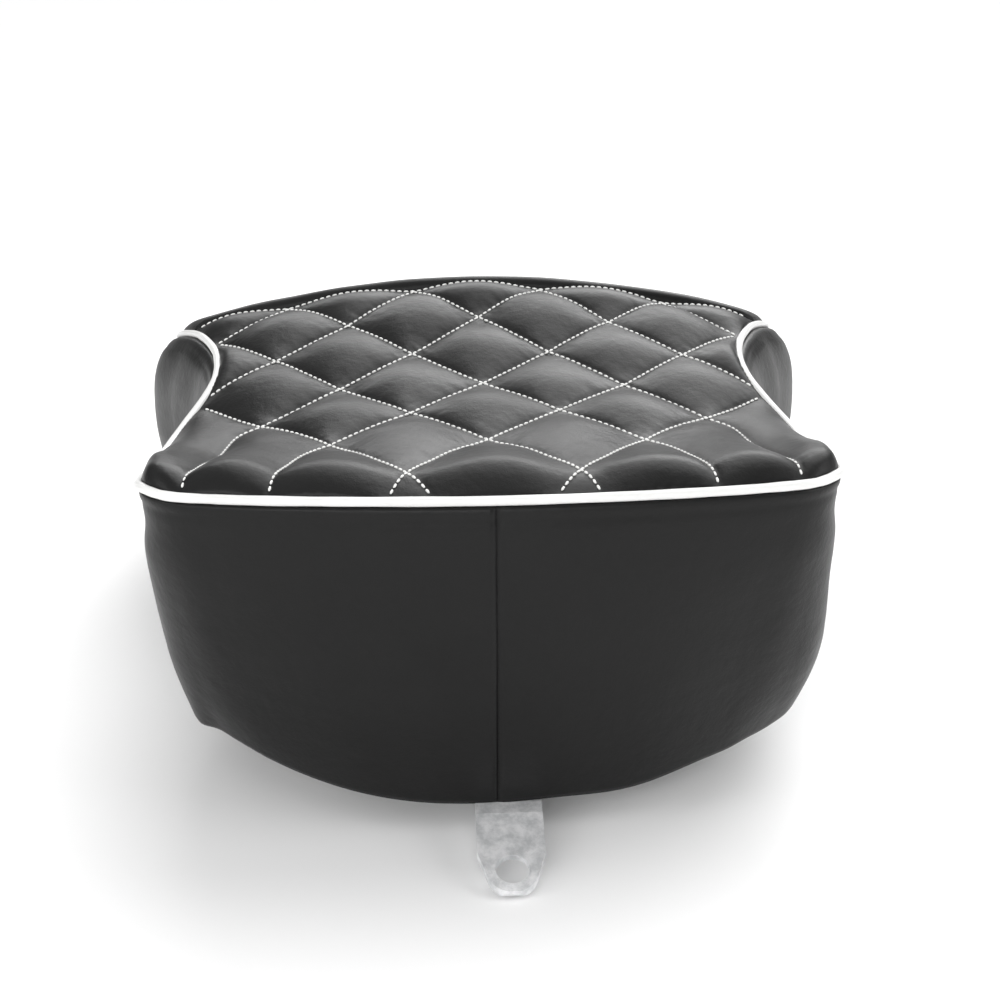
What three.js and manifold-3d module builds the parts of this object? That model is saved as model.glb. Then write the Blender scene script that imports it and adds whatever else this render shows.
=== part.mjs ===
// A two-up cruiser motorcycle seat: quilted pillion and rider panels over moulded foam on a plastic pan.
// Millimetres, +Z up, +Y towards the front of the motorcycle, +X to the rider's right.
// The shapes below are laid out in the seat's own stations: `s` runs forward from the piping at the
// tail, and `h` is the height above that piping. The last group moves them into the part frame, whose
// origin is on the floor plane under the middle of the seat.
import * as THREE from "three";
import { mergeVertices } from "three/addons/utils/BufferGeometryUtils.js";
import Module from "manifold-3d";

const wasm = await Module();
wasm.setup();

// ---------------------------------------------------------------- driving dimensions
const SEAT_LENGTH = 702; // from the piping's centre at the tail to its centre at the nose
const HIP_WIDTH = 400; // across the piping where the rider sits
const FLOOR = -175; // height of the floor plane, where the rubber bumpers stand

const PIPING_R = 2.5;
const VINYL = 2; // cover material with its seam allowances
const PADDING = 7; // sew-foam quilted to the top panels
const PAN_WALL = 4;
const GAP = 0.3; // clearance between neighbouring pieces
// From the piping's centre to the edge of the top panel and of the layers below it. They clear both
// the piping and the side covers' skin, which leans in at the tail's corners.
const SEAM_REACH = Math.max(PIPING_R + 0.7, VINYL + 1.9);

const TAB_X = 5; // the tab sits a little to the right of the middle
const TAB_WIDTH = 32;
const TAB_THICKNESS = 3.5;
const TAB_HOLE_R = 8;
const TAB_END_R = 12.3; // round end of the tab, about the hole's centre
const TAB_OUT = -5; // station where the tab bends down to lie on the mudguard
const TAB_SLOPE = THREE.MathUtils.degToRad(15.5);
const TAB_TO_HOLE = 33; // from the bend to the hole's centre, along the tab

const TONGUE_WIDTH = 38;
const TONGUE_THICKNESS = 3.5;
const TONGUE_OUT = 20; // how far the tongue's tip stands out past the nose
const TONGUE_FLAT = 56; // length that is riveted to the pan
const TONGUE_BEND = SEAT_LENGTH - 40; // where it steps down, to pass below the hem at the nose
const TONGUE_STEP = 6;
const TONGUE_FROM = TONGUE_BEND - TONGUE_FLAT;
const TONGUE_REACH = SEAT_LENGTH + TONGUE_OUT;

const BOLT_R = 3;
const BOLT_HEAD_R = 5.5;
const BOLT_HEAD_H = 4;
const WASHER_R = 7;
const WASHER_T = 1.6;
const NUT_R = 5.7;
const NUT_H = 5;
const RIVET_R = 2.4;
const RIVET_HEAD_R = 4.8;
const RIVET_HEAD_H = 1.8;
const BACKING_T = 2.5;

const BUMPER_R = 14;
const BUMPER_STEM_R = 5;
const BUMPER_STEM_H = 7;
const BOSS_R = 18;
const BOSS_DROP = 4; // how far a bumper's boss stands down from the lowest pan surface around it

// The shape is drawn below for a seat 702 mm long and 400 mm wide, and stretched to this one's size.
const along = (s) => s * SEAT_LENGTH / 702;
const across = (x) => x * HIP_WIDTH / 400;
const stretched = (path) => path.map(([x, s, h]) => [across(x), along(s), h]);
const placed = (profile) => profile.map(([s, value]) => [along(s), value]);
const CREST = along(300); // station of the cross seam between the pillion and the rider panel

// Half of the piping's path, from the tail's centre to the nose's centre: x, s, h.
const RIM = stretched([
  [0, 0, 0], [70, 3, 0], [123, 9, 0], [147, 15, 0], [160, 27, 0],
  [164, 46, -3], [168, 90, -11], [166, 145, -13], [152, 197, 3], [157, 238, 9],
  [176, 285, 9], [193, 325, -3], [200, 370, -22], [194, 420, -40], [172, 475, -54],
  [138, 530, -61], [108, 590, -64], [93, 645, -66], [78, 682, -67], [45, 698, -68],
  [0, 702, -68],
]);
// The cover's lower edge at the same places, and how far the wall between bulges outwards.
const EDGE = stretched([
  [0, 5, -157], [62, 12, -155], [112, 35, -150], [134, 50, -146], [148, 62, -142],
  [155, 80, -138], [157, 115, -130], [153, 155, -122], [147, 197, -118], [156, 242, -120],
  [174, 287, -124], [190, 328, -132], [196, 372, -143], [188, 420, -152], [165, 472, -156],
  [132, 526, -157], [103, 586, -157], [88, 640, -157], [73, 676, -154], [42, 692, -140],
  [0, 695, -132],
]);
const BULGE = [4, 3, 2, 1, 0, 0, 3, 6, 11, 18, 25, 25, 20, 16, 14, 12, 10, 8, 6, 5, 5];

// Heights along the centre line: the crown of the cushions, and the keel of the pan.
const CROWN = placed([
  [0, 10], [20, 4], [52, -1], [93, 3], [134, 5], [175, 8], [215, 15], [255, 25], [285, 33],
  [305, 32], [330, 17], [362, -10], [400, -36], [450, -55], [510, -61], [580, -58], [650, -55],
  [702, -58],
]);
const KEEL = placed([
  [0, -155], [130, -153], [220, -140], [300, -134], [380, -140], [450, -146], [702, -146],
]);
const KEEL_FLAT = 55; // half-width of the pan's flat keel
// How far the cushion stands above the piping once past the edge, and how flat it is across: the
// power of the fall from the middle to the edge.
const EDGE_ROLL = placed([[0, 8], [150, 8], [250, 2], [400, 6], [702, 6]]);
const EDGE_ROLL_REACH = 7;
const FLATNESS = placed([[0, 4], [150, 4], [260, 1.8], [400, 2.4], [702, 2.4]]);
const TUNNEL_HALF = 46; // half-width of the tunnel over the frame's backbone
const TUNNEL_RISE = 26;
const TUNNEL_FROM = along(340);
const TUNNEL_FULL = along(400);

// ---------------------------------------------------------------- curves and heights
// A smooth function through (place, value) pairs that never overshoots them.
function through(pairs) {
  const at = pairs.map((p) => p[0]);
  const value = pairs.map((p) => p[1]);
  const rise = at.slice(1).map((a, i) => (value[i + 1] - value[i]) / (a - at[i]));
  const slope = at.map((_, i) => {
    if (i === 0 || i === at.length - 1) return 0;
    const [before, after] = [rise[i - 1], rise[i]];
    return before * after <= 0 ? 0 : (2 * before * after) / (before + after);
  });
  return (place) => {
    const p = THREE.MathUtils.clamp(place, at[0], at.at(-1));
    const i = Math.min(at.findLastIndex((a) => a <= p), at.length - 2);
    const span = at[i + 1] - at[i];
    const u = (p - at[i]) / span;
    const [u2, u3] = [u * u, u * u * u];
    return (2 * u3 - 3 * u2 + 1) * value[i] + (u3 - 2 * u2 + u) * span * slope[i]
      + (3 * u2 - 2 * u3) * value[i + 1] + (u3 - u2) * span * slope[i + 1];
  };
}

// A closed loop of points with `half` mirrored on the left, and where its right half runs.
function closedPath(half) {
  const right = half.map(([x, s, h]) => new THREE.Vector3(x, s, h));
  const left = half.slice(1, -1).reverse().map(([x, s, h]) => new THREE.Vector3(-x, s, h));
  return new THREE.CatmullRomCurve3([...right, ...left], true, "centripetal");
}
const rimPath = closedPath(RIM);
const edgePath = closedPath(EDGE);
const STEPS = 2 * (RIM.length - 1); // control spans round the seat
const ROUND = 2 * STEPS; // places round the seat where every ring has a point

function alongRight(path, axis) {
  const points = Array.from({ length: ROUND + 1 }, (_, i) => path.getPoint(i / ROUND / 2));
  return through(points.map((p) => [p.y, p[axis]]));
}
const halfWidth = alongRight(rimPath, "x");
const rimHeight = alongRight(rimPath, "z");
const edgeHalfWidth = alongRight(edgePath, "x");
const edgeHeight = alongRight(edgePath, "z");
const crown = through(CROWN);
const edgeRoll = through(EDGE_ROLL);
const flatness = through(FLATNESS);
const keel = through(KEEL);

// The top of the cushions at a place `inside` millimetres in from the panel's edge.
function cushionTop(x, s, inside) {
  const across = Math.min(1, Math.abs(x) / Math.max(halfWidth(s), 1));
  const edge = rimHeight(s) + PIPING_R;
  const roll = edgeRoll(s) * (1 - Math.exp(-inside / EDGE_ROLL_REACH));
  return edge + roll + (crown(s) - edge - edgeRoll(s)) * (1 - across ** flatness(s));
}

// The underside of the pan: a flat keel that meets the edges, and a tunnel under the rider.
function panUnder(x, s) {
  const outer = Math.max(edgeHalfWidth(s), KEEL_FLAT + 1);
  const out = THREE.MathUtils.smoothstep(Math.abs(x), KEEL_FLAT, outer);
  const base = THREE.MathUtils.lerp(keel(s), edgeHeight(s) + VINYL, out);
  const along = THREE.MathUtils.smoothstep(s, TUNNEL_FROM, TUNNEL_FULL);
  const over = 1 - THREE.MathUtils.smoothstep(Math.abs(x), TUNNEL_HALF * 0.6, TUNNEL_HALF * 1.3);
  return base + TUNNEL_RISE * along * over;
}

// Rings of points round the seat, moved inwards by `inset`: along the piping, and on the side walls
// at share v of the way down from the seam under the piping to the lower edge.
const bulgeAt = through([...BULGE, ...BULGE.slice(1, -1).reverse(), BULGE[0]].map((b, i) => [i, b]));
const FULLEST = 0.4; // share of the way down where a wall bulges most

function outwardAt(u) {
  const ahead = rimPath.getTangent(u);
  return new THREE.Vector3(ahead.y, -ahead.x, 0).normalize();
}

function rimRing(inset) {
  return Array.from({ length: ROUND }, (_, i) => {
    const u = i / ROUND;
    return rimPath.getPoint(u).addScaledVector(outwardAt(u), -inset);
  });
}

function wallRing(v, inset) {
  const shoulder = v < FULLEST
    ? Math.sqrt(1 - (1 - v / FULLEST) ** 2)
    : 1 - ((v - FULLEST) / (1 - FULLEST)) ** 2.5;
  return Array.from({ length: ROUND }, (_, i) => {
    const u = i / ROUND;
    const seam = rimPath.getPoint(u);
    seam.z -= PIPING_R + GAP;
    const p = seam.lerp(edgePath.getPoint(u), v);
    return p.addScaledVector(outwardAt(u), bulgeAt(u * STEPS) * shoulder - inset);
  });
}
const atHeight = (ring, height) => ring.map((p) => p.clone().setZ(height(p.x, p.y, 0)));
const lowered = (ring, drop) => ring.map((p) => p.clone().setZ(p.z - drop));

// ---------------------------------------------------------------- solids
// A wall is a stack of closed rings, and a cap closes each end of it. A cap runs in from its ring to
// the spine on the centre line, at the heights that its function gives.
const SPINE = [along(70), along(640)];
// A cap's rings: how far in from its edge the first ones lie, and then as shares of the way on.
const TOP_CAP = { inside: [3, 8, 18], shares: [0.45, 1] };
const UNDER_CAP = { inside: [6, 18], shares: [0.3, 0.55, 0.72, 0.86, 1] };

function capRings(ring, cap, height) {
  const spineOf = (p) => new THREE.Vector3(0, THREE.MathUtils.clamp(p.y, ...SPINE), 0);
  const last = cap.inside.at(-1);
  const places = ring.map((p) => {
    const spine = spineOf(p);
    const length = Math.hypot(p.x - spine.x, p.y - spine.y);
    const near = cap.inside.map((d) => d / length);
    const far = cap.shares.map((share) => last / length + share * (1 - last / length));
    return [...near, ...far].map((f) => {
      const x = Math.abs(f - 1) < 1e-9 ? 0 : THREE.MathUtils.lerp(p.x, spine.x, f);
      const s = THREE.MathUtils.lerp(p.y, spine.y, f);
      return new THREE.Vector3(x, s, height(x, s, f * length));
    });
  });
  return places[0].map((_, k) => places.map((column) => column[k]));
}

// Each four-sided patch is split across its shorter diagonal, so that parallel layers match.
function solidFrom(rings) {
  const points = rings.flat();
  const count = rings[0].length;
  const triangles = [];
  const add = (p, q, r) => {
    const doubled = [[p, q], [q, r], [r, p]].some(([m, n]) => m.distanceTo(n) < 1e-4);
    if (!doubled) triangles.push(p, q, r);
  };
  for (let k = 0; k < rings.length - 1; k++) {
    for (let i = 0; i < count; i++) {
      const j = (i + 1) % count;
      const [a, b] = [points[k * count + i], points[k * count + j]];
      const [c, d] = [points[(k + 1) * count + j], points[(k + 1) * count + i]];
      const split = Math.hypot(b.x - d.x, b.y - d.y) < Math.hypot(a.x - c.x, a.y - c.y);
      const pair = split ? [[a, d, b], [b, d, c]] : [[a, d, c], [a, c, b]];
      pair.forEach((corners) => add(...corners));
    }
  }
  return solidOf(new THREE.BufferGeometry().setFromPoints(triangles));
}

// A solid whose wall is `wall` (rings, top to bottom) and whose caps follow two height functions.
function cappedSolid(wall, topCap, topHeight, underCap, underHeight) {
  const top = capRings(wall[0], topCap, topHeight).reverse();
  const under = capRings(wall.at(-1), underCap, underHeight);
  return solidFrom([...top, ...wall, ...under]);
}

function solidOf(geometry) {
  const plain = geometry.index ? geometry.toNonIndexed() : geometry;
  const positions = new THREE.BufferGeometry();
  positions.setAttribute("position", plain.getAttribute("position"));
  const merged = mergeVertices(positions, 1e-3);
  const mesh = new wasm.Mesh({
    numProp: 3,
    vertProperties: merged.attributes.position.array,
    triVerts: new Uint32Array(merged.index.array),
  });
  return new wasm.Manifold(mesh);
}

function geometryOf(solid) {
  const mesh = solid.getMesh();
  const geometry = new THREE.BufferGeometry();
  geometry.setAttribute("position", new THREE.BufferAttribute(mesh.vertProperties, 3));
  geometry.setIndex(new THREE.BufferAttribute(mesh.triVerts, 1));
  geometry.computeVertexNormals();
  return geometry;
}

// A box from one corner to the other.
function block(low, high) {
  const size = high.map((v, i) => v - low[i]);
  const centre = high.map((v, i) => (v + low[i]) / 2);
  return solidOf(new THREE.BoxGeometry(...size).translate(...centre));
}

// An upright cylinder, or a prism with few sides, standing on (x, s, h).
function post(radius, height, x, s, h, sides = 24) {
  const shape = new THREE.CylinderGeometry(radius, radius, height, sides);
  return solidOf(shape.rotateX(Math.PI / 2).translate(x, s, h + height / 2));
}

const FAR = 2000;
const behind = (s) => block([-FAR, -FAR, -FAR], [FAR, s - GAP / 2, FAR]);
const ahead = (s) => block([-FAR, s + GAP / 2, -FAR], [FAR, FAR, FAR]);

// ---------------------------------------------------------------- materials
const finish = (color, roughness, metalness = 0) =>
  new THREE.MeshStandardMaterial({ color, roughness, metalness });
const blackVinyl = finish(0x1b1b1c, 0.45);
const whiteVinyl = finish(0xe9e9e6, 0.4);
const foamCream = finish(0xd9cfa8, 0.95);
const foamGrey = finish(0x6d6f72, 0.95);
const blackPlastic = finish(0x141415, 0.6);
const zincSteel = finish(0xb4b6b8, 0.35, 0.9);
const blackRubber = finish(0x101010, 0.85);

const seat = new THREE.Group();
function piece(name, solid, material) {
  const mesh = new THREE.Mesh(solid.isBufferGeometry ? solid : geometryOf(solid), material);
  mesh.name = name;
  seat.add(mesh);
}

// ---------------------------------------------------------------- top panels and their padding
// Each layer is the cushion's top surface lowered by `down`, and `thick` deep.
function topLayer(down, thick) {
  const height = (depth) => (x, s, inside) => cushionTop(x, s, inside) - depth;
  const [over, under] = [height(down), height(down + thick)];
  const edge = rimRing(SEAM_REACH);
  return cappedSolid([atHeight(edge, over), atHeight(edge, under)], TOP_CAP, over, TOP_CAP, under);
}
const vinylTop = topLayer(0, VINYL);
const paddingTop = topLayer(VINYL + GAP, PADDING);
piece("passenger_top_cover", vinylTop.intersect(behind(CREST)), blackVinyl);
piece("rider_top_cover", vinylTop.intersect(ahead(CREST)), blackVinyl);
piece("passenger_quilt_padding", paddingTop.intersect(behind(CREST)), foamGrey);
piece("rider_quilt_padding", paddingTop.intersect(ahead(CREST)), foamGrey);

// ---------------------------------------------------------------- piping
const PIPING_SIDES = 8;
function pipingSolid() {
  const around = Array.from({ length: PIPING_SIDES }, (_, k) => -2 * Math.PI * k / PIPING_SIDES);
  const lines = around.map((angle) =>
    lowered(rimRing(-PIPING_R * Math.cos(angle)), -PIPING_R * Math.sin(angle)));
  return solidFrom([...lines, lines[0]]);
}
piece("piping", pipingSolid(), whiteVinyl);

// ---------------------------------------------------------------- side covers
// The skin hangs from the piping, wraps round the pan's edge and turns in under it as a hem.
const WALL_SHARES = [0, 0.1, 0.22, 0.4, 0.65, 0.85, 1];
const panRing = atHeight(wallRing(1, VINYL + GAP), panUnder);
const HEM_RINGS = UNDER_CAP.inside.length; // the hem ends where the pan's second ring lies
const hem = [panRing, ...capRings(panRing, UNDER_CAP, panUnder).slice(0, HEM_RINGS)];
const skinOutside = WALL_SHARES.map((v) => wallRing(v, 0));
const skin = solidFrom([
  ...skinOutside,
  ...hem.map((ring) => lowered(ring, GAP + VINYL)),
  ...hem.toReversed().map((ring) => lowered(ring, GAP)),
  ...WALL_SHARES.toReversed().map((v) => wallRing(v, VINYL)),
  skinOutside[0],
]);
piece("left_side_cover", skin.intersect(block([-FAR, -FAR, -FAR], [-GAP / 2, FAR, FAR])), blackVinyl);
piece("right_side_cover", skin.intersect(block([GAP / 2, -FAR, -FAR], [FAR, FAR, FAR])), blackVinyl);

// ---------------------------------------------------------------- places of the hardware
const TAB_BOLTS = [48, 76].map((s) => [TAB_X, s]);
const TONGUE_RIVETS = [12, 44].map((d) => TONGUE_FROM + d).flatMap((s) => [[-11, s], [11, s]]);
const BUMPERS = [[72, 105], [112, 452], [70, 552]]
  .map(([x, s]) => [across(x), along(s)])
  .flatMap(([x, s]) => [[-x, s], [x, s]]);
const TAB_FROM = 34; // inner end of the pad that the tab is bolted to
const TAB_TO = 90;
const PAD_UNDER = keel(TAB_FROM) - VINYL - 2 * GAP; // flat underside of that pad, level with the hem
const REAR_PLATE_TOP = keel(TAB_TO) + PAN_WALL + GAP + BACKING_T + 1;
const frontRoof = panUnder(0, TONGUE_FROM + TONGUE_FLAT / 2);
const FRONT_PLATE_TOP = frontRoof + PAN_WALL + GAP + BACKING_T + 1;

// ---------------------------------------------------------------- pan
function panSolid() {
  const over = (x, s) => panUnder(x, s) + PAN_WALL;
  const shell = cappedSolid([atHeight(panRing, over), panRing], UNDER_CAP, over, UNDER_CAP, panUnder);
  const floor = () => FLOOR;
  const belowTop = cappedSolid(
    [atHeight(panRing, over), atHeight(panRing, floor)], UNDER_CAP, over, UNDER_CAP, floor,
  );
  const bosses = BUMPERS.map(([x, s]) => post(BOSS_R, 40, x, s, bossUnder(x, s)).intersect(belowTop));
  const ribs = [-1, 1].map((side) => ribSolid(side * across(84), along(190), along(425)));
  const padHalf = TAB_WIDTH / 2 + 6;
  const tabPad = block(
    [TAB_X - padHalf, TAB_FROM, PAD_UNDER],
    [TAB_X + padHalf, TAB_TO, keel(TAB_TO) + 1],
  );
  const holes = [
    ...TAB_BOLTS.map(([x, s]) => post(BOLT_R + GAP, 40, x, s, PAD_UNDER - 5)),
    ...TONGUE_RIVETS.map(([x, s]) => post(RIVET_R + GAP, 40, x, s, panUnder(x, s) - 20)),
    ...BUMPERS.map(([x, s]) => post(BUMPER_STEM_R + GAP, BUMPER_STEM_H + 2, x, s, bossUnder(x, s) - 1)),
  ];
  const whole = [...bosses, ...ribs, tabPad].reduce((a, b) => a.add(b), shell);
  return holes.reduce((a, b) => a.subtract(b), whole);
}

// The flat foot of the boss round a bumper's stem.
function bossUnder(x, s) {
  const around = [0, 1, 2, 3].map((k) => k * Math.PI / 2).map((a) =>
    panUnder(x + BOSS_R * Math.cos(a), s + BOSS_R * Math.sin(a)));
  return Math.min(...around) - BOSS_DROP;
}

// A stiffening rib under the pan, running forward at x.
const RIB_THICK = 3;
const RIB_DEEP = 8;
function ribSolid(x, from, to) {
  const steps = 8;
  const at = Array.from({ length: steps + 1 }, (_, i) => THREE.MathUtils.lerp(from, to, i / steps));
  const side = new THREE.Shape([
    ...at.map((s) => new THREE.Vector2(s, panUnder(x, s) + 1)),
    ...at.reverse().map((s) => new THREE.Vector2(s, panUnder(x, s) - RIB_DEEP)),
  ]);
  const bar = new THREE.ExtrudeGeometry(side, { depth: RIB_THICK, bevelEnabled: false });
  return solidOf(alongSeat(bar, x - RIB_THICK / 2));
}

// Turns a side-view extrusion (station, height, across) so that it starts at `x`.
function alongSeat(geometry, x) {
  const turned = new THREE.Matrix4().set(0, 0, 1, x, 1, 0, 0, 0, 0, 1, 0, 0, 0, 0, 0, 1);
  return geometry.applyMatrix4(turned);
}
piece("seat_pan", panSolid(), blackPlastic);

// ---------------------------------------------------------------- foam
const foamTop = (x, s, inside) => cushionTop(x, s, inside) - VINYL - PADDING - 2 * GAP;
const foamUnder = (x, s) => panUnder(x, s) + PAN_WALL + GAP;
function foamSolid() {
  const wall = [
    atHeight(rimRing(SEAM_REACH), foamTop),
    ...WALL_SHARES.slice(1, -1).map((v) => wallRing(v, VINYL + GAP)),
    atHeight(panRing, foamUnder),
  ];
  const body = cappedSolid(wall, TOP_CAP, foamTop, UNDER_CAP, foamUnder);
  const rear = block(
    [TAB_X - TAB_WIDTH / 2 - 2, TAB_FROM, FLOOR],
    [TAB_X + TAB_WIDTH / 2 + 2, TAB_TO, REAR_PLATE_TOP + NUT_H + 3],
  );
  const front = block(
    [-TONGUE_WIDTH / 2 - 2, TONGUE_FROM - 4, FLOOR],
    [TONGUE_WIDTH / 2 + 2, TONGUE_BEND + 4, FRONT_PLATE_TOP + 4],
  );
  return body.subtract(rear).subtract(front);
}
const foam = foamSolid();
piece("passenger_foam", foam.intersect(behind(CREST)), foamCream);
piece("rider_foam", foam.intersect(ahead(CREST)), foamCream);

// ---------------------------------------------------------------- rear mounting tab and its bolts
// A strip that lies under the pan, comes out below the tail and bends down to the mudguard's slope.
function tabSolid() {
  const top = PAD_UNDER - GAP;
  const out = TAB_TO_HOLE + TAB_END_R;
  const bend = new THREE.Vector2(TAB_OUT, top);
  const along = new THREE.Vector2(-Math.cos(TAB_SLOPE), -Math.sin(TAB_SLOPE));
  const tip = bend.clone().addScaledVector(along, out);
  const drop = new THREE.Vector2(Math.sin(TAB_SLOPE), -Math.cos(TAB_SLOPE)).multiplyScalar(TAB_THICKNESS);
  const under = Math.tan(TAB_SLOPE / 2) * TAB_THICKNESS;
  const strip = new THREE.Shape([
    new THREE.Vector2(TAB_TO - 2, top), bend, tip, tip.clone().add(drop),
    new THREE.Vector2(TAB_OUT + under, top - TAB_THICKNESS),
    new THREE.Vector2(TAB_TO - 2, top - TAB_THICKNESS),
  ]);
  const bar = new THREE.ExtrudeGeometry(strip, { depth: TAB_WIDTH, bevelEnabled: false });
  const outline = solidOf(tabOutline().translate(TAB_X, 0, -FAR / 2));
  const bolts = TAB_BOLTS.map(([x, s]) => post(BOLT_R + GAP, 20, x, s, top - 10));
  const plate = solidOf(alongSeat(bar, TAB_X - TAB_WIDTH / 2)).intersect(outline);
  return [tabHole(), ...bolts].reduce((a, b) => a.subtract(b), plate);
}

const holeStation = TAB_OUT - TAB_TO_HOLE * Math.cos(TAB_SLOPE);
const holeHeight = PAD_UNDER - GAP - TAB_TO_HOLE * Math.sin(TAB_SLOPE);

// The tab's outline seen from above: straight sides that taper to the round end.
function tabOutline() {
  const half = TAB_WIDTH / 2;
  const taper = holeStation + 10;
  const shape = new THREE.Shape();
  shape.moveTo(-half, TAB_TO - 2);
  shape.lineTo(-half, taper);
  shape.absarc(0, holeStation, TAB_END_R, Math.PI + 0.35, 2 * Math.PI - 0.35, false);
  shape.lineTo(half, taper);
  shape.lineTo(half, TAB_TO - 2);
  return new THREE.ExtrudeGeometry(shape, { depth: FAR, bevelEnabled: false, curveSegments: 16 });
}

function tabHole() {
  const drill = new THREE.CylinderGeometry(TAB_HOLE_R, TAB_HOLE_R, 30, 32);
  drill.rotateX(Math.PI / 2).rotateX(TAB_SLOPE);
  return solidOf(drill.translate(TAB_X, holeStation, holeHeight));
}
piece("rear_mounting_tab", tabSolid(), zincSteel);

const rearPlateUnder = keel(TAB_TO) + PAN_WALL + 1 + GAP;
const rearHoles = TAB_BOLTS.map(([x, s]) => post(BOLT_R + GAP, 20, x, s, rearPlateUnder - 5));
const rearPlate = block(
  [TAB_X - TAB_WIDTH / 2, TAB_FROM + 3, rearPlateUnder],
  [TAB_X + TAB_WIDTH / 2, TAB_TO - 3, rearPlateUnder + BACKING_T],
);
piece("rear_backing_plate", rearHoles.reduce((a, b) => a.subtract(b), rearPlate), zincSteel);

TAB_BOLTS.forEach(([x, s], i) => {
  const tabUnder = PAD_UNDER - GAP - TAB_THICKNESS;
  const washerUnder = tabUnder - GAP - WASHER_T;
  const headTop = washerUnder - GAP;
  const nutUnder = rearPlateUnder + BACKING_T + GAP;
  const shankTop = nutUnder + NUT_H + 1;
  const head = post(BOLT_HEAD_R, BOLT_HEAD_H, x, s, headTop - BOLT_HEAD_H, 6);
  const shank = post(BOLT_R, shankTop - headTop + 1, x, s, headTop - 1);
  piece(`rear_tab_bolt_${i + 1}`, head.add(shank), zincSteel);
  const bore = (h, deep) => post(BOLT_R + GAP, deep + 2, x, s, h - 1);
  const washer = post(WASHER_R, WASHER_T, x, s, washerUnder).subtract(bore(washerUnder, WASHER_T));
  piece(`rear_tab_washer_${i + 1}`, washer, zincSteel);
  const nut = post(NUT_R, NUT_H, x, s, nutUnder, 6).subtract(bore(nutUnder, NUT_H));
  piece(`rear_tab_nut_${i + 1}`, nut, zincSteel);
});

// ---------------------------------------------------------------- front tongue and its rivets
// A steel tongue in the tunnel's roof that reaches out under the nose and hooks under the frame.
const NOSE_UNDER = EDGE.at(-1)[2] - VINYL;
const tongueFlat = frontRoof - GAP; // top face where it is riveted
function tongueSolid() {
  const low = NOSE_UNDER - TONGUE_STEP;
  const side = new THREE.Shape([
    new THREE.Vector2(TONGUE_FROM, tongueFlat),
    new THREE.Vector2(TONGUE_BEND, tongueFlat),
    new THREE.Vector2(TONGUE_BEND + 12, low),
    new THREE.Vector2(TONGUE_REACH, low),
    new THREE.Vector2(TONGUE_REACH, low - TONGUE_THICKNESS),
    new THREE.Vector2(TONGUE_BEND + 10, low - TONGUE_THICKNESS),
    new THREE.Vector2(TONGUE_BEND - 2, tongueFlat - TONGUE_THICKNESS),
    new THREE.Vector2(TONGUE_FROM, tongueFlat - TONGUE_THICKNESS),
  ]);
  const bar = new THREE.ExtrudeGeometry(side, { depth: TONGUE_WIDTH, bevelEnabled: false });
  const plate = solidOf(alongSeat(bar, -TONGUE_WIDTH / 2));
  const holes = TONGUE_RIVETS.map(([x, s]) => post(RIVET_R + GAP, 30, x, s, tongueFlat - 15));
  return holes.reduce((a, b) => a.subtract(b), plate);
}
piece("front_tongue", tongueSolid(), zincSteel);

const frontPlateUnder = frontRoof + PAN_WALL + GAP + 0.6;
const frontPlate = block(
  [-TONGUE_WIDTH / 2, TONGUE_FROM, frontPlateUnder],
  [TONGUE_WIDTH / 2, TONGUE_BEND, frontPlateUnder + BACKING_T],
);
const frontHoles = TONGUE_RIVETS.map(([x, s]) => post(RIVET_R + GAP, 20, x, s, frontPlateUnder - 5));
piece("front_backing_plate", frontHoles.reduce((a, b) => a.subtract(b), frontPlate), zincSteel);

TONGUE_RIVETS.forEach(([x, s], i) => {
  const under = tongueFlat - TONGUE_THICKNESS - GAP;
  const over = frontPlateUnder + BACKING_T + GAP;
  const head = post(RIVET_HEAD_R, RIVET_HEAD_H, x, s, under - RIVET_HEAD_H, 16);
  const shank = post(RIVET_R, over - under + 0.4, x, s, under - 0.2, 16);
  const tail = post(RIVET_R + 1.2, 1.5, x, s, over, 16);
  piece(`tongue_rivet_${i + 1}`, head.add(shank).add(tail), zincSteel);
});

// ---------------------------------------------------------------- rubber bumpers
BUMPERS.forEach(([x, s], i) => {
  const top = bossUnder(x, s) - GAP;
  const profile = [
    [0, FLOOR], [BUMPER_R - 1.5, FLOOR], [BUMPER_R, FLOOR + 2], [BUMPER_R - 1, top],
    [BUMPER_STEM_R, top], [BUMPER_STEM_R, top + BUMPER_STEM_H], [0, top + BUMPER_STEM_H],
  ].map(([r, h]) => new THREE.Vector2(r, h));
  const foot = new THREE.LatheGeometry(profile, 20).rotateX(Math.PI / 2).translate(x, s, 0);
  piece(`bumper_${i + 1}`, solidOf(foot), blackRubber);
});

// ---------------------------------------------------------------- into the part frame
const tabTip = TAB_OUT - (TAB_TO_HOLE + TAB_END_R) * Math.cos(TAB_SLOPE);
seat.position.set(0, -(TONGUE_REACH + tabTip) / 2, -FLOOR);
export default seat;
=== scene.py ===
import math
import bmesh
import bpy
import numpy as np
from mathutils import Matrix, Vector, kdtree, noise
from mathutils.bvhtree import BVHTree


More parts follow.
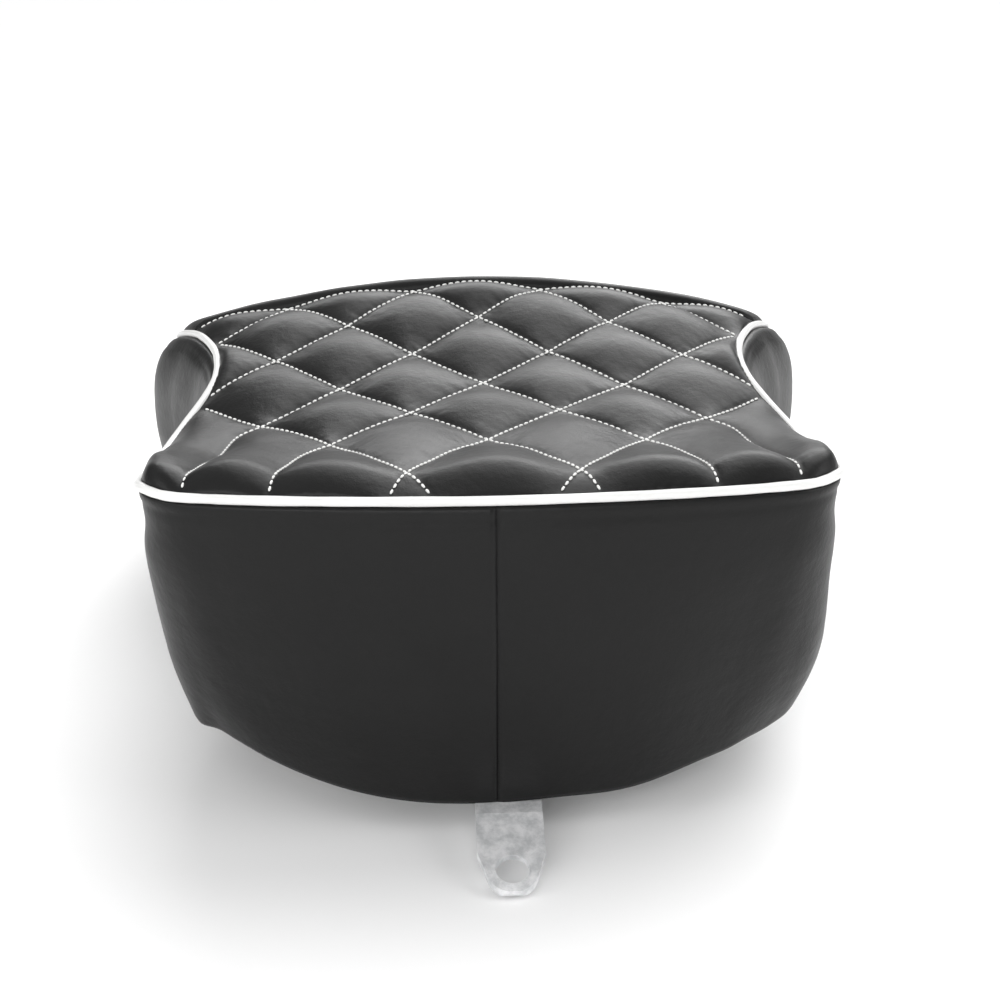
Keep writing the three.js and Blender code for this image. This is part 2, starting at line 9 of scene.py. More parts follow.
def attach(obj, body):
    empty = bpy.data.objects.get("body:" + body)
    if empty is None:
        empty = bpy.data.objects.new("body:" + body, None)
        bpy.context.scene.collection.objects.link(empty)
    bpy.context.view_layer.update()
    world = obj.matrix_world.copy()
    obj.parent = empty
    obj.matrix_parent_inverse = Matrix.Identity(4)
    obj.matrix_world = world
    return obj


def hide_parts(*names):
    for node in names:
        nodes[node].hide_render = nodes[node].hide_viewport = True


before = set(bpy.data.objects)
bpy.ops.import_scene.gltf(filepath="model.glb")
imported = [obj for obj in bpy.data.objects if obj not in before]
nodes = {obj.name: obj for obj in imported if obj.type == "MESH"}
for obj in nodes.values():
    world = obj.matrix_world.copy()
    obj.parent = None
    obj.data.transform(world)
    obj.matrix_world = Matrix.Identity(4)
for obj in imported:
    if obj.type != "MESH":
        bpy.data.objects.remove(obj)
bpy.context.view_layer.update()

# ---- Camera
# Stands behind the tail, a little to the left, and looks down on the passenger's half.
TAIL_Y = -0.3367  # the piping at the middle of the tail
FLOOR_DROP = 0.175  # from that piping down to the floor
camera_data = bpy.data.cameras.new("camera")
camera_data.sensor_width = 36
camera_data.lens = 50.08
camera = bpy.data.objects.new("camera", camera_data)
bpy.context.collection.objects.link(camera)
camera.location = (-0.022, TAIL_Y - 0.569, FLOOR_DROP + 0.221)
TURN_RIGHT = math.radians(2.39)
TILT_DOWN = math.radians(21.18)
ROLL = math.radians(-0.35)
look = (Matrix.Rotation(-TURN_RIGHT, 4, "Z") @ Matrix.Rotation(math.pi / 2 - TILT_DOWN, 4, "X")
        @ Matrix.Rotation(ROLL, 4, "Z"))
camera.rotation_euler = look.to_euler()
bpy.context.scene.camera = camera

# ---- Seat pan
# One injection moulding of black polypropylene that carries everything else. Its underside has the
# fine spark-eroded texture of the mould, and the bumpers' bosses and two ribs are moulded in.


def new_material(name, color, roughness, **sockets):
    material = bpy.data.materials.new(name)
    material.use_nodes = True
    shader = material.node_tree.nodes["Principled BSDF"]
    shader.inputs["Base Color"].default_value = (*color, 1)
    shader.inputs["Roughness"].default_value = roughness
    for socket, value in sockets.items():
        shader.inputs[socket.replace("_", " ")].default_value = value
    return material


def add_node(material, kind, inputs=None, **settings):
    node = material.node_tree.nodes.new(kind)
    for name, value in settings.items():
        setattr(node, name, value)
    for name, value in (inputs or {}).items():
        if isinstance(value, bpy.types.NodeSocket):
            material.node_tree.links.new(value, node.inputs[name])
        else:
            node.inputs[name].default_value = value
    return node


def to_shader(material, socket, value):
    shader = material.node_tree.nodes["Principled BSDF"]
    material.node_tree.links.new(value, shader.inputs[socket])


def ramp(material, value, low, high, dark, light):
    node = add_node(material, "ShaderNodeMapRange", {
        "Value": value, "From Min": low, "From Max": high, "To Min": dark, "To Max": light})
    return node.outputs["Result"]


def object_noise(material, scale, detail=2.0, roughness=0.5, stretch=(1, 1, 1)):
    place = add_node(material, "ShaderNodeTexCoord").outputs["Object"]
    mapping = add_node(material, "ShaderNodeMapping", {"Vector": place, "Scale": stretch})
    node = add_node(material, "ShaderNodeTexNoise", {
        "Vector": mapping.outputs["Vector"], "Scale": scale, "Detail": detail, "Roughness": roughness})
    return node.outputs["Fac"]


def bump(material, height, distance, under=None):
    inputs = {"Height": height, "Distance": distance, "Strength": 1.0}
    if under is not None:
        inputs["Normal"] = under
    return add_node(material, "ShaderNodeBump", inputs).outputs["Normal"]


def mix_color(material, factor, first, second):
    node = add_node(material, "ShaderNodeMix", data_type="RGBA")
    material.node_tree.links.new(factor, node.inputs[0])
    node.inputs[6].default_value = (*first, 1)
    node.inputs[7].default_value = (*second, 1)
    return node.outputs[2]


moulded_plastic = new_material("moulded_plastic", (0.012, 0.012, 0.013), 0.55)
texture = object_noise(moulded_plastic, 1400, 3)
flow = object_noise(moulded_plastic, 9, 2)
to_shader(moulded_plastic, "Normal", bump(moulded_plastic, texture, 0.00012))
to_shader(moulded_plastic, "Roughness", ramp(moulded_plastic, flow, 0.35, 0.7, 0.48, 0.62))
to_shader(moulded_plastic, "Base Color", mix_color(
    moulded_plastic, flow, (0.011, 0.011, 0.012), (0.018, 0.018, 0.019)))


def paint(node_name, material):
    node = nodes[node_name]
    node.data.materials.clear()
    node.data.materials.append(material)


paint("seat_pan", moulded_plastic)

# ---- Tab, tongue and their fasteners
# Laser-cut 3.5 mm steel strip, folded in a press and bright zinc plated, with ordinary plated bolts,
# washers, nuts and rivets. The plating is mottled, with rubbed spots and fine scratches.
bright_zinc = new_material("bright_zinc", (0.72, 0.73, 0.74), 0.4, Metallic=0.4)
spangle = object_noise(bright_zinc, 130, 5, 0.65)
cloud = object_noise(bright_zinc, 34, 3, 0.6)
scratch = object_noise(bright_zinc, 420, 2, 0.5, stretch=(1, 0.06, 1))
to_shader(bright_zinc, "Base Color", mix_color(
    bright_zinc, ramp(bright_zinc, spangle, 0.38, 0.62, 0, 1), (0.58, 0.59, 0.60), (0.86, 0.86, 0.87)))
to_shader(bright_zinc, "Roughness", ramp(bright_zinc, cloud, 0.3, 0.7, 0.3, 0.5))
to_shader(bright_zinc, "Normal", bump(
    bright_zinc, scratch, 0.00006, bump(bright_zinc, spangle, 0.00015)))
for name in nodes:
    if name.startswith(("rear_mounting", "rear_backing", "rear_tab", "front_", "tongue_")):
        paint(name, bright_zinc)

# ---- Rubber bumpers
# Six moulded feet of black rubber, pushed by their stems into the pan's bosses. They carry the seat
# on the frame and the mudguard.
moulded_rubber = new_material("moulded_rubber", (0.014, 0.014, 0.014), 0.8)
bloom = object_noise(moulded_rubber, 60, 4, 0.6)
to_shader(moulded_rubber, "Base Color", mix_color(
    moulded_rubber, bloom, (0.010, 0.010, 0.010), (0.032, 0.032, 0.031)))
to_shader(moulded_rubber, "Normal", bump(moulded_rubber, object_noise(moulded_rubber, 900, 2), 0.0001))
for index in range(1, 7):
    paint(f"bumper_{index}", moulded_rubber)

# ---- Foam bun
# Moulded polyurethane foam with a skin, set on the pan. Its upper face is the seat's shape: a raised
# passenger's half, a step, and a dished rider's half that narrows to the nose.


def through(pairs):
    """A smooth function through (place, value) pairs that never overshoots them."""
    at, value = np.array(pairs, float).T
    span = np.diff(at)
    rise = np.diff(value) / span
    slope = np.zeros(len(at))
    same = rise[:-1] * rise[1:] > 0
    slope[1:-1][same] = (2 * rise[:-1] * rise[1:])[same] / (rise[:-1] + rise[1:])[same]

    def curve(place):
        p = np.clip(place, at[0], at[-1])
        i = np.clip(np.searchsorted(at, p, side="right") - 1, 0, len(span) - 1)
        u = (p - at[i]) / span[i]
        return ((2 * u**3 - 3 * u**2 + 1) * value[i] + (u**3 - 2 * u**2 + u) * span[i] * slope[i]
                + (3 * u**2 - 2 * u**3) * value[i + 1] + (u**3 - u**2) * span[i] * slope[i + 1])
    return curve


# Half of the seam that the piping follows, from the tail to the nose: x, station, height in mm.
SEAM = [
    (0, 0, 0), (70, 3, 0), (123, 9, 0), (147, 15, 0), (160, 27, 0),
    (164, 46, -4), (168, 90, -14), (166, 145, -16), (152, 197, -1), (156, 238, 4),
    (173, 285, 4), (192, 325, -5), (200, 370, -22), (194, 420, -40), (172, 475, -54),
    (138, 530, -61), (108, 590, -64), (93, 645, -66), (78, 682, -67), (45, 698, -68),
    (0, 702, -68)]
# The covers' lower edge at the same places, and how far the wall between bulges outwards.
LOWER_EDGE = [
    (0, 5, -157), (62, 12, -155), (112, 35, -150), (134, 50, -146), (148, 62, -142),
    (155, 80, -138), (157, 115, -130), (153, 155, -122), (147, 197, -118), (156, 242, -120),
    (174, 287, -124), (190, 328, -132), (196, 372, -143), (188, 420, -152), (165, 472, -156),
    (132, 526, -157), (103, 586, -157), (88, 640, -157), (73, 676, -154), (42, 692, -140),
    (0, 695, -132)]
BULGE = [4, 4, 4, 4, 4, 4, 4, 6, 10, 16, 20, 21, 19, 16, 14, 12, 10, 8, 6, 5, 5]
SPANS = 2 * (len(SEAM) - 1)


def round_seat(half, places):
    """Points on the closed curve through `half` and its mirror, at places counted in spans."""
    right = np.array(half, float)
    left = right[-2:0:-1] * (-1, 1, 1)
    loop = np.vstack([right, left])
    places = np.asarray(places, float) % SPANS
    i = np.floor(places).astype(int)
    w = (places - i)[:, None]
    p0, p1, p2, p3 = (loop[(i + k) % SPANS] for k in (-1, 0, 1, 2))
    t0, t1, t2 = (np.linalg.norm(b - a, axis=1)[:, None] ** 0.5
                  for a, b in ((p0, p1), (p1, p2), (p2, p3)))
    m1 = ((p1 - p0) / t0 - (p2 - p0) / (t0 + t1) + (p2 - p1) / t1) * t1
    m2 = ((p2 - p1) / t1 - (p3 - p1) / (t1 + t2) + (p3 - p2) / t2) * t1
    return (p1 + m1 * w + (3 * (p2 - p1) - 2 * m1 - m2) * w**2
            + (2 * (p1 - p2) + m1 + m2) * w**3)


def outward(places):
    step = round_seat(SEAM, np.asarray(places) + 0.01) - round_seat(SEAM, np.asarray(places) - 0.01)
    side = np.stack([step[:, 1], -step[:, 0], 0 * step[:, 0]], axis=1)
    return side / np.linalg.norm(side, axis=1)[:, None]


dense = np.linspace(0, SPANS / 2, 801)
seam_right = round_seat(SEAM, dense)


def half_width(station):
    return np.interp(station, seam_right[:, 1], seam_right[:, 0])


def seam_height(station):
    return np.interp(station, seam_right[:, 1], seam_right[:, 2])


bulge_at = through(list(enumerate([*BULGE, *BULGE[-2:0:-1], BULGE[0]])))
FULLEST = 0.4  # share of the way down at which a wall bulges most
SEAM_DROP = 2.8  # from the middle of the piping down to the covers' upper edge


def wall(places, share, inset):
    """Points on the side wall, `share` of the way down from the seam, moved inwards by `inset`."""
    top = round_seat(SEAM, places) - (0, 0, SEAM_DROP)
    above = np.sqrt(np.clip(1 - (1 - share / FULLEST) ** 2, 0, 1))
    below = 1 - (np.clip(share - FULLEST, 0, 1) / (1 - FULLEST)) ** 2.5
    shoulder = np.where(share < FULLEST, above, below)
    point = top * (1 - share)[:, None] + round_seat(LOWER_EDGE, places) * share[:, None]
    out = bulge_at(np.asarray(places) % SPANS) * shoulder - inset
    return point + outward(places) * out[:, None]


# By station: the height along the middle, how far the padding rises past its edge, how flat it is
# across, and the extra roll over the tail's corners.
middle_line = through([
    (0, 3.5), (20, 5.2), (52, 2), (93, -2.5), (134, -1), (175, 2), (215, 9), (255, 20), (285, 28),
    (305, 29), (330, 15), (362, -13), (400, -38), (450, -57), (510, -63), (580, -61), (650, -59),
    (702, -62)])
edge_roll = through([(0, 3), (60, 2), (120, 0.5), (250, 1), (300, 1), (400, 6), (702, 6)])
flatness = through([(0, 2.6), (110, 2.5), (160, 2.1), (260, 1.8), (400, 2.4), (702, 2.4)])
corner_roll = through([(0, 0), (25, 3), (52, 4.5), (90, 3), (120, 1), (150, 0), (702, 0)])


def foam_top(x, station, inside):
    """Height of the padding under the stitches, `inside` mm in from the seam."""
    across = np.clip(np.abs(x) / np.maximum(half_width(station), 1), 0, 1)
    roll = edge_roll(station) * (1 - np.exp(-inside / 8))
    edge = seam_height(station) + 0.5
    fall = middle_line(station) - edge - edge_roll(station)
    over = corner_roll(station) * (1 - np.exp(-inside / 4)) * np.exp(-(inside / 16) ** 2)
    return edge + roll + fall * (1 - across ** flatness(station)) + over


def to_part(points):
    """Stations in millimetres to the part's frame in metres."""
    return (np.asarray(points) + (0, 0, FLOOR_DROP * 1000)) / 1000 + (0, TAIL_Y, 0)


def shaped_grid(columns, rows, shape):
    """A grid bent into place: `shape` takes shares across and along, and gives stations in mm."""
    bm = bmesh.new()
    bmesh.ops.create_grid(bm, x_segments=columns, y_segments=rows, size=0.5)
    share = np.array([vertex.co for vertex in bm.verts]) + 0.5
    for vertex, place in zip(bm.verts, to_part(shape(share[:, 0], share[:, 1]))):
        vertex.co = place
    return bm


def close_up(bm):
    bmesh.ops.remove_doubles(bm, verts=bm.verts, dist=1e-6)
    bmesh.ops.dissolve_degenerate(bm, edges=bm.edges, dist=1e-7)
    bmesh.ops.recalc_face_normals(bm, faces=bm.faces)
    return bm


def new_object(bm, name, material):
    mesh = bpy.data.meshes.new(name)
    bm.to_mesh(mesh)
    bm.free()
    made = bpy.data.objects.new(name, mesh)
    bpy.context.collection.objects.link(made)
    mesh.materials.append(material)
    return made


def finish_piece(bm, name, material, smooth=True):
    piece = new_object(bm, name, material)
    piece.data.polygons.foreach_set("use_smooth", [smooth] * len(piece.data.polygons))
    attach(piece, "root")
    return piece


moulded_foam = new_material("moulded_foam", (0.62, 0.55, 0.34), 0.9)
cells = object_noise(moulded_foam, 700, 3, 0.7)
to_shader(moulded_foam, "Base Color", mix_color(
    moulded_foam, cells, (0.50, 0.43, 0.25), (0.68, 0.61, 0.40)))
to_shader(moulded_foam, "Normal", bump(moulded_foam, cells, 0.0004))


COVERED_BY = 14  # depth of padding and vinyl over the bun
BEHIND_COVERS = 7  # from the covers' outer face in to the bun's side
LAID_ON_PAN = -108  # height of the bun's underside along the middle


def foam_shape(around, along):
    """Three tenths of the rows make the top, four the side, and three the underside."""
    places = around * SPANS
    on_top, beneath = along <= 0.3, along > 0.7
    side_share = 0.08 + 0.84 * np.clip((along - 0.3) / 0.4, 0, 1)
    point = wall(places, side_share, BEHIND_COVERS)
    top_edge = round_seat(SEAM, places) - outward(places) * 8 - (0, 0, COVERED_BY)
    point = np.where(on_top[:, None], top_edge, point)
    inward = np.clip(np.maximum((0.3 - along) / 0.3, (along - 0.7) / 0.3), 0, 1)[:, None]
    spine = np.stack([0 * places, np.clip(point[:, 1], 70, 640), point[:, 2]], axis=1)
    point = point * (1 - inward) + spine * inward
    x, station, height = point.T
    height = np.where(along < 0.3, np.minimum(foam_top(x, station, 40) - COVERED_BY, 40), height)
    height = np.where(beneath, height + (LAID_ON_PAN - height) * inward[:, 0], height)
    over_tunnel = np.clip((85 - np.abs(x)) / 25, 0, 1) * np.clip((station - 340) / 60, 0, 1)
    height = np.maximum(height, -165 + (LAID_ON_PAN + 165) * over_tunnel)
    return np.column_stack([x, station, height])


foam_bun = finish_piece(close_up(shaped_grid(160, 30, foam_shape)), "foam_bun", moulded_foam)
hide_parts("passenger_foam", "rider_foam")

# ---- Passenger's quilted panel
# Black vinyl sewn to sew-foam in diamonds about 79 mm across, before it was joined to the side covers
# at the piping. The rows of stitches pull the vinyl down, and each diamond stands up as a soft puff.
CREST = 300
CORNER = 4.5  # place of the tail's corner on the seam
inner_seam = seam_right[:, :2] - outward(dense)[:, :2] * 1.5
inner_length = np.concatenate([[0], np.cumsum(np.hypot(*np.diff(inner_seam, axis=0).T))])
corner_length = np.interp(CORNER, dense, inner_length)
crest_length = np.interp(CREST, inner_seam[:, 1], inner_length)

edge_tree = kdtree.KDTree(2 * len(inner_seam))
for index, (x, station) in enumerate(inner_seam):
    edge_tree.insert((x, station, 0), 2 * index)
    edge_tree.insert((-x, station, 0), 2 * index + 1)
edge_tree.balance()


def inside_of(points):
    return np.array([edge_tree.find((x, station, 0))[2] for x, station in points])


def along_seam(length):
    """Places on the panel's edge: lengths to the right of the tail's middle, or to the left of it."""
    reach = np.abs(length)
    x = np.sign(length) * np.interp(reach, inner_length, inner_seam[:, 0])
    return np.stack([x, np.interp(reach, inner_length, inner_seam[:, 1])], axis=1)


def patch(across, along, south, north, west, east):
    """Fills the space between four edges."""
    (sw, se), (nw, ne) = south(np.array([0.0, 1.0])), north(np.array([0.0, 1.0]))
    u, v = across[:, None], along[:, None]
    return ((1 - v) * south(across) + v * north(across) + (1 - u) * west(along) + u * east(along)
            - (1 - u) * (1 - v) * sw - u * (1 - v) * se - (1 - u) * v * nw - u * v * ne)


def cross_seam(share):
    half = np.interp(CREST, inner_seam[:, 1], inner_seam[:, 0])
    return np.stack([(2 * share - 1) * half, np.full_like(share, CREST)], axis=1)


def passenger_outline(across, along):
    return patch(
        across, along, lambda u: along_seam(corner_length * (2 * u - 1)), cross_seam,
        lambda v: along_seam(-(corner_length + (crest_length - corner_length) * v)),
        lambda v: along_seam(corner_length + (crest_length - corner_length) * v))


DIAMOND_WIDE = 79
DIAMOND_LONG = 82
FIRST_CROSSING = 93  # station of the crossing nearest the tail on the middle line
PUFF = 6.6  # height of a diamond's middle above the crossings
LIFT = 0.8  # between two crossings the stitches lie this much higher than at them


def wobble(x, station, size, seed):
    return np.array([noise.noise((a / size, b / size, seed)) for a, b in zip(x, station)])


def fabric_run(x, station):
    """How far forward a place lies on the fabric, which is stretched where it rolls over the tail."""
    run = station - FIRST_CROSSING
    run = run * (1 + 0.0001 * run)
    reach = np.abs(x)
    end = -56 + 32 * (np.minimum(reach, 110) / 100) ** 2.4 + 1.1 * np.maximum(reach - 110, 0)
    least = end + np.clip((-4 - end) / FIRST_CROSSING, 0.18, 0.6) * station
    return least + 6 * np.logaddexp(0, (run - least) / 6)


def diamond_places(x, station):
    """Counts of the two families of quilting lines: a whole number lies on a line."""
    forward = fabric_run(x, station) / DIAMOND_LONG
    return x / DIAMOND_WIDE + forward, x / DIAMOND_WIDE - forward


def quilting(x, station):
    """How far the vinyl stands above the crossings of the stitches."""
    first, second = diamond_places(x, station)
    a = np.clip((2 * np.abs(first - np.round(first)) - 0.03) / 0.97, 0, 1)
    b = np.clip((2 * np.abs(second - np.round(second)) - 0.03) / 0.97, 0, 1)
    rise = np.sin(np.pi / 2 * a) * np.sin(np.pi / 2 * b)
    lift = 1 - (1 - np.maximum(a, b)) ** 2
    cell = np.sin(np.floor(first) * 12.99 + np.floor(second) * 78.23) * 43758.5
    fullness = 0.9 + 0.2 * (cell - np.floor(cell))
    return LIFT * lift + PUFF * fullness * rise ** 0.68


SPACING = 56.9  # between two lines of one family


def creases(x, station):
    """Small gathers that run away from each row of stitches at a right angle."""
    first, second = diamond_places(x, station)
    total = np.zeros(len(x))
    for count, other, seed in ((first, second, 0.0), (second, first, 40.0)):
        off = np.abs(count - np.round(count)) * SPACING
        fine = np.array([noise.noise((r * 0.30, n * 7.3 + seed, o * 0.06))
                         for r, n, o in zip(other * SPACING, np.round(count), off)])
        broad = np.array([noise.noise((r * 0.12, n * 5.1 + seed, o * 0.03))
                          for r, n, o in zip(other * SPACING, np.round(count), off)])
        to_crossing = np.abs(other - np.round(other)) * SPACING
        share = 0.35 + 0.65 * np.exp(-to_crossing / 10)
        gathers = 0.9 * fine * np.exp(-off / 5) + 1.1 * broad * np.exp(-off / 10)
        total += gathers * share * np.clip(off / 2, 0, 1)
    return total


def panel_top(x, station, inside):
    """The quilted face, which dies down towards its edges and the cross seam."""
    reach = np.interp(station, (0, 60, 220, 290), (34, 10, 10, 26))
    near = 1 - np.clip(inside / reach, 0, 1)
    swell = np.sqrt(1 - near ** 2) * np.sqrt(np.clip((CREST + 2 - station) / 26, 0, 1))
    height = foam_top(x, station, inside) + quilting(x, station) * (0.15 + 0.85 * swell)
    return height + creases(x, station) * swell + 0.8 * swell * wobble(x, station, 34, 3.0)


def passenger_shape(across, along):
    points = passenger_outline(across, along)
    x, station = points.T
    inside = inside_of(points)
    overhang = corner_roll(station) / 8 * 2.5 * np.sin(np.pi * np.clip(inside / 14, 0, 1))
    return np.column_stack([x + np.sign(x) * overhang, station, panel_top(x, station, inside)])


black_vinyl = new_material("black_vinyl", (0.010, 0.010, 0.011), 0.36, Specular_IOR_Level=0.17)
place = add_node(black_vinyl, "ShaderNodeTexCoord").outputs["Object"]
grain = add_node(black_vinyl, "ShaderNodeTexVoronoi", {"Vector": place, "Scale": 850.0},
                 feature="DISTANCE_TO_EDGE").outputs["Distance"]
soft = object_noise(black_vinyl, 170, 4, 0.6)
patchy = object_noise(black_vinyl, 16, 4, 0.6)
to_shader(black_vinyl, "Normal", bump(
    black_vinyl, grain, 0.00005, bump(black_vinyl, soft, 0.00030)))
to_shader(black_vinyl, "Roughness", ramp(black_vinyl, patchy, 0.3, 0.7, 0.33, 0.45))
to_shader(black_vinyl, "Base Color", mix_color(
    black_vinyl, patchy, (0.006, 0.006, 0.006), (0.011, 0.011, 0.011)))


def padded_panel(name, shape, columns, rows, depth):
    """The panel's face, closed by a plain lining `depth` lower."""
    def lining(across, along):
        x, station = shape(across, along).T[:2]
        inside = inside_of(np.stack([x, station], axis=1))
        return np.column_stack([x, station, foam_top(x, station, inside) - depth])

    bm = shaped_grid(columns, rows, shape)
    lower = shaped_grid(24, 24, lining)
    below = bpy.data.meshes.new("below")
    lower.to_mesh(below)
    lower.free()
    bm.from_mesh(below)
    bpy.data.meshes.remove(below)
    bmesh.ops.bridge_loops(bm, edges=[edge for edge in bm.edges if edge.is_boundary])
    bmesh.ops.recalc_face_normals(bm, faces=bm.faces)
    return finish_piece(bm, name, black_vinyl)


PANEL_DEPTH = 8
passenger_panel = padded_panel(
    "passenger_quilted_panel", passenger_shape, 300, 280, PANEL_DEPTH)
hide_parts("passenger_top_cover", "passenger_quilt_padding")

# ---- Rider's panel
# Plain black vinyl over the same padding. It starts at the cross seam on the crest, falls down the
# step behind the rider's back and dishes out before the nose.
NOSE_CORNER = 18  # place of the nose's corner on the seam
nose_length = np.interp(NOSE_CORNER, dense, inner_length)


def round_nose(share):
    """Places round the nose, from its left corner at 0 to its right corner at 1."""
    side = 2 * share - 1
    reach = nose_length + (inner_length[-1] - nose_length) * (1 - np.abs(side))
    x = np.sign(side) * np.interp(reach, inner_length, inner_seam[:, 0])
    return np.stack([x, np.interp(reach, inner_length, inner_seam[:, 1])], axis=1)


def rider_outline(across, along):
    return patch(
        across, along, cross_seam, round_nose,
        lambda v: along_seam(-(crest_length + (nose_length - crest_length) * v)),
        lambda v: along_seam(crest_length + (nose_length - crest_length) * v))


def rider_shape(across, along):
    points = rider_outline(across, along)
    x, station = points.T
    from_piping = inside_of(points)
    inside = np.minimum(from_piping, 2 * (station - CREST) + 0.5)
    swell = np.sqrt(1 - (1 - np.clip(inside / 12, 0, 1)) ** 2)
    height = foam_top(x, station, from_piping) + 5.5 * swell
    return np.column_stack([points, height + 0.9 * swell * wobble(x, station, 40, 9.0)])


rider_panel = padded_panel("rider_panel", rider_shape, 180, 200, PANEL_DEPTH)
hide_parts("rider_top_cover", "rider_quilt_padding")

# ---- Side covers
# Two plain vinyl skins, left and right, sewn together at the tail and the nose. They hang from the
# piping, go round the pan's edge and turn in under it as a hem, which is stapled to the pan.
pan_mesh = bmesh.new()
pan_mesh.from_mesh(nodes["seat_pan"].data)
pan_surface = BVHTree.FromBMesh(pan_mesh)
pan_mesh.free()
HEM = 18
SKIN_DEPTH = 150  # about how far a cover hangs down
TOP_ROW = 6  # from a cover's upper edge down to its top stitching


def pan_under(x, station):
    """Height of the pan's underside over each place."""
    found = []
    for px, ps in zip(x, station):
        start = Vector((px / 1000, ps / 1000 + TAIL_Y, -0.05))
        hit = pan_surface.ray_cast(start, Vector((0, 0, 1)))[0]
        found.append(hit.z * 1000 - FLOOR_DROP * 1000 if hit else np.nan)
    return np.array(found)


def hump(value, middle, reach):
    return np.exp(-((value - middle) / reach) ** 2)


def side_skin(places, share, side):
    """The outer face: pinched in at its stitches, a little slack, and fuller low at the tail's corners.

    `side` is 1 for the right cover, which is the fuller one, and -1 for the left.
    """
    deep = share * SKIN_DEPTH
    point = wall(places, share, 0.2)
    pinch = 0.5 * hump(deep, TOP_ROW, 2.4)
    corner = 3.5 * hump(places, 5, 2.2) * hump(deep, 14, 16)
    slack = np.array([0.9 * noise.noise((p * 0.9, d / 38, 5.0))
                      + 0.1 * noise.noise((p * 1.6, d / 9, 8.0)) for p, d in zip(places, deep)])
    slack = slack * np.clip(deep / 12, 0, 1)
    fullness = (6 + 3.5 * side) * hump(places, 5, 2.5) * hump(share, 0.8, 0.34)
    point = point + outward(places) * (slack + fullness - pinch - corner)[:, None]
    groove = 0.35 * np.exp(-np.abs(point[:, 0]) / 0.9)
    point[:, 1] += np.where(places < 4, groove, np.where(places > 16, -groove, 0))
    return point


def side_shape(mirror):
    """The right cover (1) or its left counterpart (-1), whose lower edge is drawn up near the tail."""
    def shape(around, along):
        places = np.clip(around * SPANS / 2, 0.001, SPANS / 2 - 0.001)
        share = np.clip(along / 0.9, 0, 1)
        point = side_skin(places, share, mirror)
        wave = np.array([noise.noise((p * 1.1 + 11 * mirror, 0, 2.0)) for p in places])
        lifted = 5 * hump(places, 2.9, 1.1) * (mirror < 0)
        point[:, 2] += (2.2 * wave + lifted) * share ** 6
        hem = np.clip((along - 0.9) / 0.1, 0, 1)
        low = hem > 0
        edge = point[low]
        turned = edge - outward(places[low]) * (HEM * hem[low])[:, None]
        under = pan_under(turned[:, 0] * 0.999, turned[:, 1]) - 1.9
        under = np.where(np.isnan(under), edge[:, 2], under)
        blend = np.clip(hem[low] / 0.3, 0, 1)
        turned[:, 2] = edge[:, 2] * (1 - blend) + under * blend
        point[low] = turned
        return point * (mirror, 1, 1)
    return shape


for side, mirror in (("left", -1), ("right", 1)):
    bm = shaped_grid(420, 110, side_shape(mirror))
    if mirror < 0:
        bmesh.ops.reverse_faces(bm, faces=bm.faces)
    cover = finish_piece(bm, f"{side}_side_skin", black_vinyl)
    thick = cover.modifiers.new("thickness", "SOLIDIFY")
    thick.thickness = 0.0014
    thick.offset = -1
    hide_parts(f"{side}_side_cover")

# ---- Piping
# White vinyl wrapped round a 4 mm cord, sewn in between the top panels and the side covers all the
# way round.
PIPING_RADIUS = 2.25
white_vinyl = new_material("white_vinyl", (0.86, 0.86, 0.84), 0.34)
wear = object_noise(white_vinyl, 45, 3, 0.6)
to_shader(white_vinyl, "Base Color", mix_color(
    white_vinyl, wear, (0.66, 0.66, 0.65), (0.74, 0.74, 0.73)))
to_shader(white_vinyl, "Normal", bump(white_vinyl, object_noise(white_vinyl, 500, 2), 0.00005))


def piping_shape(around, along):
    places = around * SPANS
    angle = -along * 2 * math.pi
    radius = PIPING_RADIUS * (1 + 0.04 * np.sin(places * 9.1) * np.sin(places * 3.7))
    centre = round_seat(SEAM, places)
    return centre + outward(places) * (np.cos(angle) * radius)[:, None] + np.column_stack(
        [0 * angle, 0 * angle, np.sin(angle) * radius])


piping = finish_piece(close_up(shaped_grid(800, 14, piping_shape)), "white_piping", white_vinyl)
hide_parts("piping")

# ---- Stitching
# Bonded polyester thread, 4.1 mm to the stitch. The quilting and the cross seam are sewn in white, and
# the top stitching under the piping is a thinner charcoal thread, as is the row beside the tail seam.
STITCH = 4.1
THREAD = 0.72  # half the white thread's width
FINE_THREAD = 0.4
LIES_ABOVE = 0.35 * THREAD  # from the vinyl up to the middle of a white stitch
white_thread = new_material("white_thread", (0.90, 0.90, 0.88), 0.6)
twist = add_node(white_thread, "ShaderNodeTexWave", {
    "Vector": add_node(white_thread, "ShaderNodeTexCoord").outputs["Object"], "Scale": 900.0,
    "Distortion": 1.5})
to_shader(white_thread, "Normal", bump(white_thread, twist.outputs["Fac"], 0.0001))
charcoal_thread = new_material("charcoal_thread", (0.22, 0.22, 0.224), 0.6)
to_shader(charcoal_thread, "Normal", bump(
    charcoal_thread, object_noise(charcoal_thread, 1500, 2), 0.0001))


